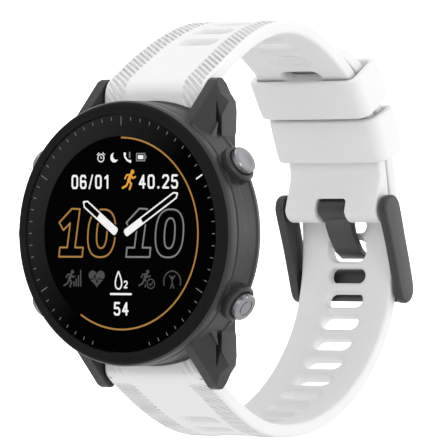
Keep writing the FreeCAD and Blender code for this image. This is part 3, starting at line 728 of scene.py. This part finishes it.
def t_top(x, s, hw):
    n = t_top0(x, s, hw) + end_top(T_LEN - s, L_END)
    if s < 0.5:
        u = (0.5 - s) / (0.5 + TIPL)
        n = n + 1.15 * u ** 1.3
    return n


def t_bot(x, s, hw):
    n = np.full_like(x, end_bot(T_LEN - s, L_END))
    if s < 0:
        n = n - 0.1 * (-s / TIPL)
    return n


strap_t = flat_strap("strap_tail_side_v", tv, tip_hw, t_top, t_bot)
best = min((abs((lambda P, h: P[1] - T * math.cos(rad(h)))(*walk(TP0, H_TIP, TAIL, s / 50.0)) + 3.3) + (0 if s / 50.0 < 60 else 100), s / 50.0)
           for s in range(0, int(T_LEN * 50)))
TONGUE_S = best[1]
TS = [(k, TONGUE_S + PITCH * k) for k in range(-2, 15)]
cut_with(strap_t, [slot_cutter(s, W=(4.2 if k == 0 else SLOT_W), flare=(0.35 if k == 0 else 0.55)) for k, s in TS])
# the tongue's slot is pulled open on its wrist side
cut_with(strap_t, [slot_cutter(s - 0.75, W=5.2, flare=0.20, relief=1.17) for k, s in TS if k == 0])
co = np.array([v.co[:] for v in strap_t.data.vertices])
co = bend(co, TP0, H_TIP, TAIL)
for v, c in zip(strap_t.data.vertices, co):
    v.co = c
strap_t = finish_strap(strap_t, "strap_tail_side_v", -1, "strap_tail_side")

# ------------------------------------------------------------------ keepers
KP = {"keeper_upper": (-49.0, -58.0, 3.85, 3.60, 31.625), "keeper_lower": (-66.8, -67.5, 4.20, 3.00, 31.775)}


def keeper(node, body):
    hc, ht, hl, ch, mid = KP[node]
    hx, hxi = 12.20, 10.75
    ro = ch + 1.15
    C = (CY - mid * math.sin(rad(hc)), CZ + mid * math.cos(rad(hc)))
    T_ = (math.cos(rad(ht)), math.sin(rad(ht)))
    N_ = (-math.sin(rad(ht)), math.cos(rad(ht)))

    def loop(hw_, h_, cr, crown=0.0, m=9):
        pts = []
        for cx, cz, a0 in ((hw_ - cr, h_ - cr, 0), (-hw_ + cr, h_ - cr, 90), (-hw_ + cr, -h_ + cr, 180), (hw_ - cr, -h_ + cr, 270)):
            for k in range(m):
                a = rad(a0 + 90.0 * k / (m - 1))
                pts.append((cx + cr * math.cos(a), cz + cr * math.sin(a)))
            if a0 in (0, 180):
                x0, base = pts[-1]
                up = 1 if a0 == 0 else -1
                for q in range(1, 12):
                    xx = x0 * (1 - 2 * q / 12.0)
                    pts.append((xx, base + up * crown * (1 - (xx / x0) ** 2)))
        return np.array(pts)

    e, K = 0.45, 6
    st = [(e * (1 - math.cos(rad(90.0 * i / K))), e * (1 - math.sin(rad(90.0 * i / K)))) for i in range(K + 1)]
    stations = [(-hl + d, ins) for d, ins in st] + [(t, 0.0) for t in np.linspace(-hl + e, hl - e, 11)[1:-1]] + \
               [(hl - d, ins) for d, ins in st[::-1]]
    V_, F_ = [], []
    for t, ins in stations:
        bulge = 0.10 * (1 - (t / hl) ** 2)
        lo = loop(hx - ins + 0.5 * bulge, ro - ins + bulge, 2.3 - ins * 0.5, crown=0.10)
        li = loop(hxi + ins * 0.5, ch + ins * 0.5, 1.1)
        for P in (lo, li):
            for x, n_ in P:
                V_.append((x, C[0] + t * T_[0] + n_ * N_[0], C[1] + t * T_[1] + n_ * N_[1]))
        n = len(lo)
    S_ = len(stations)
    for i in range(S_ - 1):
        for j in range(n):
            l = (j + 1) % n
            a, b = i * 2 * n, (i + 1) * 2 * n
            F_.append((a + j, a + l, b + l, b + j))
            F_.append((a + n + j, b + n + j, b + n + l, a + n + l))
    for base in (0, (S_ - 1) * 2 * n):
        for j in range(n):
            l = (j + 1) % n
            F_.append((base + j, base + n + j, base + n + l, base + l))
    return make(node + "_v", V_, F_, M["silicone"], body=body, slot="silicone_white", rep=node, smooth=50)


keeper("keeper_upper", "keeper_upper_body")
keeper("keeper_lower", "keeper_lower_body")


# ------------------------------------------------------------------ buckle
def smooth_closed(pts, sub=6):
    """Catmull-Rom through a closed outline"""
    P = np.array(pts)
    n = len(P)
    out = []
    for i in range(n):
        p0, p1, p2, p3 = P[i - 1], P[i], P[(i + 1) % n], P[(i + 2) % n]
        for k in range(sub):
            t = k / sub
            out.append(0.5 * ((2 * p1) + (-p0 + p2) * t + (2 * p0 - 5 * p1 + 4 * p2 - p3) * t * t + (-p0 + 3 * p1 - 3 * p2 + p3) * t ** 3))
    return np.array(out)


ARM_IN, ARM_OUT = 10.70, 12.50
ARM = [(PB_Y - 2.3, PB_Z + 0.4), (PB_Y - 1.9, PB_Z + 1.6), (PB_Y - 0.8, PB_Z + 2.35), (PB_Y + 0.6, PB_Z + 2.45), (PB_Y + 1.8, PB_Z + 1.75),
       (PB_Y + 2.6, PB_Z + 0.3), (69.4, -0.6), (70.9, -5.4), (71.95, -9.4), (71.95, -10.9), (71.2, -12.2), (69.9, -12.8),
       (68.7, -12.4), (67.9, -11.2), (66.9, -8.0), (65.2, -2.6), (PB_Y - 2.1, PB_Z - 1.2)]
XB = [(71.25, -6.9), (71.9, -7.1), (72.3, -9.4), (72.1, -10.9), (71.2, -12.3), (70.4, -12.6), (69.95, -12.2), (70.75, -9.4)]


def join_meshes(parts):
    V_, F_ = [], []
    for v, f in parts:
        b = len(V_)
        V_ += [tuple(q) for q in v]
        F_ += [tuple(i + b for i in g) for g in f]
    return V_, F_


arm_o = smooth_closed(ARM, 5)
pa = prism("a", arm_o, -ARM_OUT, -ARM_IN, edge=0.45)
pb = prism("b", arm_o, ARM_IN, ARM_OUT, edge=0.45)
pc = prism("c", smooth_closed(XB, 4), -ARM_IN - 0.3, ARM_IN + 0.3, edge=0.05)
V_, F_ = join_meshes([pa, pb, pc])
make("buckle_frame_v", V_, F_, M["buckle"], body="buckle_frame_body", slot="buckle_metal", rep="buckle_frame", smooth=38)

TG = [(PB_Y - 0.3, PB_Z - 1.2), (PB_Y + 0.30, PB_Z - 3.4), (66.40, -0.70), (68.55, -3.55), (70.6, -4.75), (71.25, -4.75), (71.35, -4.1),
      (69.45, -2.75), (67.55, -0.10), (66.9, 2.2), (PB_Y + 1.95, PB_Z)]
p1 = prism("t", TG, -2.85, 2.85, edge=0.22)
circ = [(PB_Y + 2.0 * math.cos(rad(a)), PB_Z + 2.0 * math.sin(rad(a))) for a in range(0, 360, 8)]
p2 = prism("t2", circ, -2.85, 2.85, edge=0.22)
V_, F_ = join_meshes([p1, p2])
make("buckle_tongue_v", V_, F_, M["buckle"], body="buckle_tongue_body", slot="buckle_metal", rep="buckle_tongue", smooth=32)

# ------------------------------------------------------------------ bezel
BZ = [(20.95, 0.60), (20.95, -0.25), (20.98, -0.34), (21.10, -0.40), (21.6, -0.36), (22.25, -0.22), (22.45, -0.12), (22.62, 0.0), (22.78, 0.2),
      (22.98, 0.55), (23.12, 0.85), (23.22, 1.05), (23.25, 1.25), (23.25, 2.60), (23.22, 2.72), (23.10, 2.88), (23.0, 2.90), (21.5, 2.90), (21.5, 0.60)]
bz = revolve("bezel_v", BZ, M["bezel"], slot="bezel_polymer", rep="bezel", smooth=28, segs=320)
# the wall takes the lighter, glossier case material while the front keeps the dark bezel one: lit and shaded copies of
# the same polymer, painted light on the wall where the side light falls
bz.data.materials.append(M["case"])
for f in bz.data.polygons:
    c = f.center
    if math.hypot(c.x, c.z) > 22.95 * MM:
        f.material_index = 1

# ------------------------------------------------------------------ dial graphics
WHITE = glow("glow_white", (1.0, 1.0, 1.0), 0.90)
GREY = glow("glow_grey", (0.30, 0.30, 0.31), 0.75)
DIM = glow("glow_dim", (0.085, 0.085, 0.088), 0.85)
TAN = glow("glow_tan", (0.56, 0.29, 0.085), 0.74)
ORANGE = glow("glow_orange", (0.90, 0.42, 0.06), 0.85)
# dial ring: its own dark grey, with a painted reflection brightening it towards the upper left
RING_WITH_REFLECTION = glow("glow_ring", (0.0222, 0.0222, 0.0228), 0.95, painted_reflection_dir=(-0.766, 0.643))
BLACK = glow("glow_black", (0.0012, 0.0012, 0.0014), 1.0)
TICK = glow("glow_tick", (0.21, 0.21, 0.22), 0.8)

flats = {}


def put(mat, y, verts, faces):
    key = (mat.name, round(y, 4))
    V_, F_, m = flats.setdefault(key, ([], [], mat))
    b = len(V_)
    V_ += [(x, y, z) for x, z in verts]
    F_ += [tuple(i + b for i in f) for f in faces]


def disc(mat, y, c, r, seg=20):
    put(mat, y, [(c[0] + r * math.cos(2 * math.pi * k / seg), c[1] + r * math.sin(2 * math.pi * k / seg)) for k in range(seg)], [tuple(range(seg))])


def ring(mat, y, c, r0, r1, a0=0.0, a1=360.0, seg=48):
    V_, F_ = [], []
    for k in range(seg + 1):
        a = rad(a0 + (a1 - a0) * k / seg)
        V_ += [(c[0] + r0 * math.cos(a), c[1] + r0 * math.sin(a)), (c[0] + r1 * math.cos(a), c[1] + r1 * math.sin(a))]
    for k in range(seg):
        F_.append((2 * k, 2 * k + 1, 2 * k + 3, 2 * k + 2))
    put(mat, y, V_, F_)


def stroke(mat, y, pts, w, closed=False, caps=True):
    pts = [tuple(p) for p in pts]
    n = len(pts)
    rng = range(n if closed else n - 1)
    for i in rng:
        a, b = pts[i], pts[(i + 1) % n]
        dx, dz = b[0] - a[0], b[1] - a[1]
        l = math.hypot(dx, dz)
        if l < 1e-6:
            continue
        nx, nz = -dz / l * w / 2, dx / l * w / 2
        put(mat, y, [(a[0] + nx, a[1] + nz), (b[0] + nx, b[1] + nz), (b[0] - nx, b[1] - nz), (a[0] - nx, a[1] - nz)], [(0, 1, 2, 3)])
    if caps:
        for p in pts:
            disc(mat, y - 0.0005, p, w / 2, 12)


def poly(mat, y, pts):
    put(mat, y, pts, [tuple(range(len(pts)))])


Y0 = 0.10
ring(RING_WITH_REFLECTION, Y0, (0, 0), 17.05, 20.80, seg=240)
disc(BLACK, Y0, (0, 0), 17.05, 240)
YT, YD, YM, YH = Y0 - 0.015, Y0 - 0.02, Y0 - 0.03, Y0 - 0.04
for k in range(60):
    if 28 <= k <= 32:
        continue
    a = rad(90 - 6 * k)
    long_ = k in (0, 10, 20, 40, 50)
    mat = WHITE if k == 10 else TICK
    L_, w_ = (1.55, 0.17) if long_ else (0.62, 0.16)
    r1 = 20.45
    u = (math.cos(a), math.sin(a))
    stroke(mat, YT, [((r1 - L_) * u[0], (r1 - L_) * u[1]), (r1 * u[0], r1 * u[1])], w_ if k != 10 else 0.26, caps=False)
ring(TAN, YT, (0, 0), 16.62, 16.92, a0=90, a1=90 - 212, seg=160)

ONE = [(-10.85, 4.35), (-9.08, 4.28), (-10.17, -2.46), (-8.38, -2.46), (-8.58, -4.09), (-13.75, -4.09), (-13.55, -2.46), (-11.91, -2.46),
       (-11.23, 1.81), (-12.74, 0.59), (-13.68, 1.91)]


def oval(cx, cz, hw_, hh, e, shear, seg=56):
    pts = []
    for k in range(seg):
        a = 2 * math.pi * k / seg
        c, s = math.cos(a), math.sin(a)
        x = hw_ * abs(c) ** (2 / e) * (1 if c >= 0 else -1)
        z = hh * abs(s) ** (2 / e) * (1 if s >= 0 else -1)
        pts.append((cx + x + shear * z, cz + z))
    return pts


for dx, mat in ((0.0, TAN), (14.87, GREY)):
    stroke(mat, YD, [(x + dx, z) for x, z in ONE], 0.30, closed=True)
    stroke(mat, YD, oval(-4.27 + dx, 0.04, 3.02, 4.18, 2.5, 0.08), 0.30, closed=True, caps=False)
    stroke(mat, YD, oval(-4.22 + dx, 0.06, 1.12, 2.62, 2.5, 0.08), 0.30, closed=True, caps=False)


def hand(base, tip, solid, w, wall):
    b, t = np.array(base), np.array(tip)
    u = (t - b) / np.hypot(*(t - b))
    n = np.array([-u[1], u[0]])
    L_ = np.hypot(*(t - b))

    def shape(g, s0, s1, cut, tip):
        h = w / 2 + g
        return [b + u * (s0 - g) + n * (h - cut), b + u * (s0 + cut - g) + n * h, b + u * (s1 - tip + g) + n * h, b + u * (s1 + g) + n * (0.10 + g * 0.5),
                b + u * (s1 + g) - n * (0.10 + g * 0.5), b + u * (s1 - tip + g) - n * h, b + u * (s0 + cut - g) - n * h, b + u * (s0 - g) - n * (h - cut)]
    poly(BLACK, YM, [tuple(p) for p in shape(0.28, 0, L_, 0.3, 0.75)])
    poly(WHITE, YH, [tuple(p) for p in shape(0, 0, L_, 0.3, 0.75)])
    hole = [b + u * (solid) + n * (w / 2 - wall), b + u * (L_ - 0.75 - wall * 0.3) + n * (w / 2 - wall), b + u * (L_ - wall * 1.3) + n * 0.02,
            b + u * (L_ - wall * 1.3) - n * 0.02, b + u * (L_ - 0.75 - wall * 0.3) - n * (w / 2 - wall), b + u * (solid) - n * (w / 2 - wall)]
    poly(BLACK, YH - 0.004, [tuple(p) for p in hole])


hand((-0.95, 0.15), (-8.35, 5.60), 5.0, 1.50, 0.27)
hand((0.85, -0.05), (12.45, 7.05), 4.4, 1.36, 0.27)

# small seven-stroke figures, drawn as rounded strokes
FIG = {
    "0": [[(0.18, 0.0), (0.82, 0.0), (1.0, 0.16), (1.0, 0.84), (0.82, 1.0), (0.18, 1.0), (0.0, 0.84), (0.0, 0.16), (0.18, 0.0)]],
    "1": [[(0.15, 0.80), (0.62, 1.0), (0.62, 0.0)]],
    "2": [[(0.0, 0.84), (0.18, 1.0), (0.82, 1.0), (1.0, 0.84), (1.0, 0.64), (0.0, 0.0), (1.0, 0.0)]],
    "4": [[(0.72, 0.0), (0.72, 1.0), (0.0, 0.30), (1.0, 0.30)]],
    "5": [[(0.95, 1.0), (0.10, 1.0), (0.05, 0.55), (0.75, 0.58), (1.0, 0.42), (1.0, 0.16), (0.82, 0.0), (0.18, 0.0), (0.0, 0.14)]],
    "6": [[(0.95, 0.86), (0.80, 1.0), (0.18, 1.0), (0.0, 0.84), (0.0, 0.16), (0.18, 0.0), (0.82, 0.0), (1.0, 0.16), (1.0, 0.42), (0.82, 0.56), (0.05, 0.50)]],
    "7": [[(0.0, 1.0), (1.0, 1.0), (0.38, 0.0)]],
    "8": [[(0.2, 0.53), (0.03, 0.68), (0.03, 0.86), (0.2, 1.0), (0.8, 1.0), (0.97, 0.86), (0.97, 0.68), (0.8, 0.53), (0.2, 0.53), (0.0, 0.38),
           (0.0, 0.15), (0.18, 0.0), (0.82, 0.0), (1.0, 0.15), (1.0, 0.38), (0.8, 0.53)]],
}


def figures(text, x0, z0, h, w, gap, mat, weight):
    x = x0
    for ch in text:
        if ch == ".":
            disc(mat, YD, (x + weight * 0.55, z0 + weight * 0.1), weight * 0.62, 14)
            x += weight * 1.1 + gap
            continue
        if ch == "/":
            stroke(mat, YD, [(x, z0 - 0.1), (x + w * 0.62, z0 + h + 0.1)], weight * 0.8)
            x += w * 0.62 + gap
            continue
        if ch == " ":
            x += gap * 1.2
            continue
        for st in FIG[ch]:
            stroke(mat, YD, [(x + p[0] * w, z0 + p[1] * h) for p in st], weight)
        x += (w if ch != "1" else w * 0.72) + gap
    return x


figures("06/01", -10.75, 8.0, 2.1, 1.08, 0.80, WHITE, 0.38)
figures("40.25", 4.10, 8.0, 2.1, 1.14, 0.80, WHITE, 0.38)
figures("54", -1.42, -14.15, 2.0, 1.08, 0.76, WHITE, 0.38)
stroke(WHITE, YD, [(-2.25, -10.58), (2.22, -10.58)], 0.36)


def runner(cx, cz, k, mat, w=0.42):
    def P(x, z):
        return (cx + k * x, cz + k * z)
    disc(mat, YD, P(0.72, 1.42), 0.40 * k, 18)
    stroke(mat, YD, [P(0.35, 0.85), P(-0.10, -0.10)], w * 1.6 * k)
    stroke(mat, YD, [P(0.30, 0.92), P(-0.55, 0.85), P(-0.92, 0.25)], w * 0.75 * k)
    stroke(mat, YD, [P(0.42, 0.85), P(0.80, 0.30), P(1.35, 0.55)], w * 0.75 * k)
    stroke(mat, YD, [P(-0.02, -0.15), P(0.48, -0.70), P(0.10, -1.60)], w * 0.9 * k)
    stroke(mat, YD, [P(-0.15, -0.20), P(-0.62, -1.00), P(-1.45, -1.38)], w * 0.9 * k)


runner(1.80, 9.35, 1.0, ORANGE)
runner(-11.35, -7.95, 0.86, DIM)
for i, h in enumerate((0.9, 1.4, 2.0, 2.9)):
    stroke(DIM, YD, [(-10.4 + 0.50 * i, -9.3), (-10.4 + 0.50 * i, -9.3 + h)], 0.28, caps=False)
# heart
hp = []
for k in range(40):
    t = 2 * math.pi * k / 40
    hp.append((-5.35 + 0.112 * 16 * math.sin(t) ** 3, -7.75 + 0.105 * (13 * math.cos(t) - 5 * math.cos(2 * t) - 2 * math.cos(3 * t) - math.cos(4 * t))))
poly(DIM, YD, hp)
stroke(BLACK, YM, [(-7.1, -8.0), (-6.1, -8.0), (-5.75, -7.2), (-5.3, -8.7), (-4.9, -7.7), (-4.6, -8.0), (-3.6, -8.0)], 0.17, caps=False)
# breath gauge: drop with a small figure
dp = [(-0.55 + 0.95 * math.sin(t) * (math.sin(t / 2) ** 1.2), -8.15 + 1.55 * math.cos(t) * 1.0) for t in [2 * math.pi * k / 36 for k in range(36)]]
stroke(WHITE, YD, dp, 0.28, closed=True, caps=False)
for st in FIG["2"]:
    stroke(WHITE, YD, [(0.72 + p[0] * 0.62, -9.45 + p[1] * 1.1) for p in st], 0.24)
# runner with a dial
runner(5.25, -7.85, 0.86, DIM)
disc(BLACK, YM, (6.55, -8.75), 1.12, 28)
ring(DIM, YM - 0.004, (6.55, -8.75), 0.72, 0.92, seg=32)
stroke(DIM, YM - 0.004, [(6.2, -8.75), (6.48, -9.02), (6.98, -8.45)], 0.20)
# gauge arc with a figure
ring(DIM, YD, (11.2, -8.35), 1.72, 1.95, a0=-22, a1=202, seg=40)
disc(DIM, YD, (11.2, -7.65), 0.27, 14)
stroke(DIM, YD, [(10.6, -7.3), (11.2, -8.05), (11.8, -7.3)], 0.20)
stroke(DIM, YD, [(11.2, -8.05), (11.2, -8.7), (10.85, -9.45)], 0.24)
stroke(DIM, YD, [(11.2, -8.7), (11.55, -9.45)], 0.24)
# status row: alarm, moon, handset, battery
c = (-4.42, 13.22)
ring(WHITE, YD, c, 0.58, 0.76, seg=36)
stroke(WHITE, YD, [(c[0], c[1] + 0.34), (c[0], c[1] - 0.04), (c[0] + 0.26, c[1] - 0.04)], 0.13)
for sx in (-1, 1):
    stroke(WHITE, YD, [(c[0] + sx * 0.42, c[1] + 0.92), (c[0] + sx * 0.84, c[1] + 0.56)], 0.15)
c = (-1.47, 13.28)
# crescent: a lit disc with a dark disc over its upper right
disc(WHITE, YD, c, 0.86, 32)
disc(BLACK, YM, (c[0] + 0.46, c[1] + 0.34), 0.74, 32)
c = (1.46, 13.28)
stroke(WHITE, YD, [(c[0] - 0.70, c[1] + 0.72), (c[0] - 0.55, c[1] + 0.05), (c[0] - 0.05, c[1] - 0.50), (c[0] + 0.62, c[1] - 0.70)], 0.34)
disc(WHITE, YD, (c[0] - 0.62, c[1] + 0.62), 0.27, 14)
disc(WHITE, YD, (c[0] + 0.55, c[1] - 0.68), 0.27, 14)
stroke(GREY, YD, [(c[0] + 0.45, c[1] + 0.85), (c[0] + 0.45, c[1] + 0.05)], 0.30)
c = (4.38, 13.32)
stroke(GREY, YD, [(c[0] - 0.95, c[1] - 0.62), (c[0] + 0.85, c[1] - 0.62), (c[0] + 0.85, c[1] + 0.62), (c[0] - 0.95, c[1] + 0.62)], 0.22, closed=True)
stroke(GREY, YD, [(c[0] + 1.08, c[1] - 0.2), (c[0] + 1.08, c[1] + 0.2)], 0.2)
poly(WHITE, YD, [(c[0] - 0.66, c[1] - 0.34), (c[0] + 0.52, c[1] - 0.34), (c[0] + 0.52, c[1] + 0.34), (c[0] - 0.66, c[1] + 0.34)])

for (mn, y), (V_, F_, m) in flats.items():
    o = make("dial_%s_%d" % (mn, int(round((0.2 - y) * 10000))), V_, F_, m, smooth=None, slot="display_black")

# ------------------------------------------------------------------ stage, light, camera
def cyc():
    pts = []
    z0, y1, r = -75.0, 2200.0, 500.0
    pts.append((-2600.0, z0)); pts.append((y1, z0))
    for k in range(1, 17):
        a = rad(90.0 * k / 16)
        pts.append((y1 + r * math.sin(a), z0 + r * (1 - math.cos(a))))
    pts.append((y1 + r, 2600.0))
    V_, F_ = [], []
    for y, z in pts:
        V_ += [(-3500, y, z), (3500, y, z)]
    for k in range(len(pts) - 1):
        F_.append((2 * k, 2 * k + 1, 2 * k + 3, 2 * k + 2))
    me = bpy.data.meshes.new("studio")
    me.from_pydata([(x * MM, y * MM, z * MM) for x, y, z in V_], [], F_)
    me.polygons.foreach_set("use_smooth", [True] * len(me.polygons))
    o = bpy.data.objects.new("studio", me)
    COL.objects.link(o)
    m, nt = new_mat("studio_paper")
    out = add(nt, "ShaderNodeOutputMaterial")
    # paper: soft matte white with a painted glow, a pool of light that brightens with distance and fades with height,
    # so that the far wall reads as plain white
    d = add(nt, "ShaderNodeBsdfDiffuse")
    e = add(nt, "ShaderNodeEmission")
    a_ = add(nt, "ShaderNodeAddShader")
    tc = add(nt, "ShaderNodeTexCoord")
    n = add(nt, "ShaderNodeTexNoise", Scale=3.0)
    nt.links.new(tc.outputs["Object"], n.inputs["Vector"])
    tone = add(nt, "ShaderNodeMapRange")
    tone.inputs["To Min"].default_value = 0.78
    tone.inputs["To Max"].default_value = 0.80
    nt.links.new(n.outputs["Fac"], tone.inputs["Value"])
    nt.links.new(tone.outputs["Result"], d.inputs["Color"])
    sep = add(nt, "ShaderNodeSeparateXYZ")
    nt.links.new(tc.outputs["Object"], sep.inputs["Vector"])
    glow_by_depth = add(nt, "ShaderNodeMapRange", interpolation_type="SMOOTHSTEP")
    glow_by_depth.inputs["From Min"].default_value = 0.30
    glow_by_depth.inputs["From Max"].default_value = 0.72
    glow_by_depth.inputs["To Min"].default_value = 0.10
    glow_by_depth.inputs["To Max"].default_value = 1.06
    nt.links.new(sep.outputs["Y"], glow_by_depth.inputs["Value"])
    glow_by_height = add(nt, "ShaderNodeMapRange", interpolation_type="SMOOTHSTEP")
    glow_by_height.inputs["From Min"].default_value = 0.30
    glow_by_height.inputs["From Max"].default_value = 0.90
    glow_by_height.inputs["To Min"].default_value = 1.0
    glow_by_height.inputs["To Max"].default_value = 0.35
    nt.links.new(sep.outputs["Z"], glow_by_height.inputs["Value"])
    mu = add(nt, "ShaderNodeMath", operation="MULTIPLY")
    nt.links.new(glow_by_depth.outputs["Result"], mu.inputs[0])
    nt.links.new(glow_by_height.outputs["Result"], mu.inputs[1])
    nt.links.new(mu.outputs[0], e.inputs["Strength"])
    nt.links.new(d.outputs["BSDF"], a_.inputs[0])
    nt.links.new(e.outputs["Emission"], a_.inputs[1])
    nt.links.new(a_.outputs["Shader"], out.inputs["Surface"])
    me.materials.append(m)
    return o


cyc()
w = bpy.data.worlds.new("studio_world")
bpy.context.scene.world = w
w.use_nodes = True
bg = w.node_tree.nodes.get("Background")
bg.inputs["Color"].default_value = (1, 1, 1, 1)
bg.inputs["Strength"].default_value = 0.78


def area(name, loc, target, size, power, size_y=None, colour=(1, 1, 1)):
    l = bpy.data.lights.new(name, "AREA")
    l.shape = "RECTANGLE"
    l.size = size
    l.size_y = size_y or size
    l.energy = power
    l.color = colour
    o = bpy.data.objects.new(name, l)
    COL.objects.link(o)
    o.location = Vector(loc)
    o.rotation_euler = (Vector(target) - Vector(loc)).to_track_quat("-Z", "Y").to_euler()
    return o


area("key_front", (0.05, -0.95, 0.60), (0, 0, 0), 0.8, 1.9)
area("top", (0.0, 0.05, 0.85), (0, 0, 0), 0.6, 1.0)
area("side_right", (0.88, 0.30, 0.12), (0, 0, 0), 0.22, 0.75, size_y=0.7)
area("facet_light", (0.88, -0.42, 0.20), (0, 0, 0), 0.14, 0.8, size_y=0.4)
area("low", (0.15, -0.70, -0.60), (0, 0, 0), 0.6, 0.7)

cam = bpy.data.cameras.new("camera")
cam.sensor_width = 36.0
cam.lens = 6181.5 / 448.0 * 36.0
cam.clip_start = 0.05
cam.clip_end = 20.0
co_ = bpy.data.objects.new("camera", cam)
COL.objects.link(co_)
az = rad(36.4842)
back = Vector((math.sin(az), -math.cos(az), 0.0))
tgt = Vector((0.0, (30.3566 - WY) * MM, 1.6644 * MM))
co_.location = tgt + back * 1.1043
co_.rotation_euler = (-back).to_track_quat("-Z", "Y").to_euler()
bpy.context.scene.camera = co_
bpy.context.scene.view_settings.view_transform = "Standard"
bpy.context.scene.view_settings.look = "None"
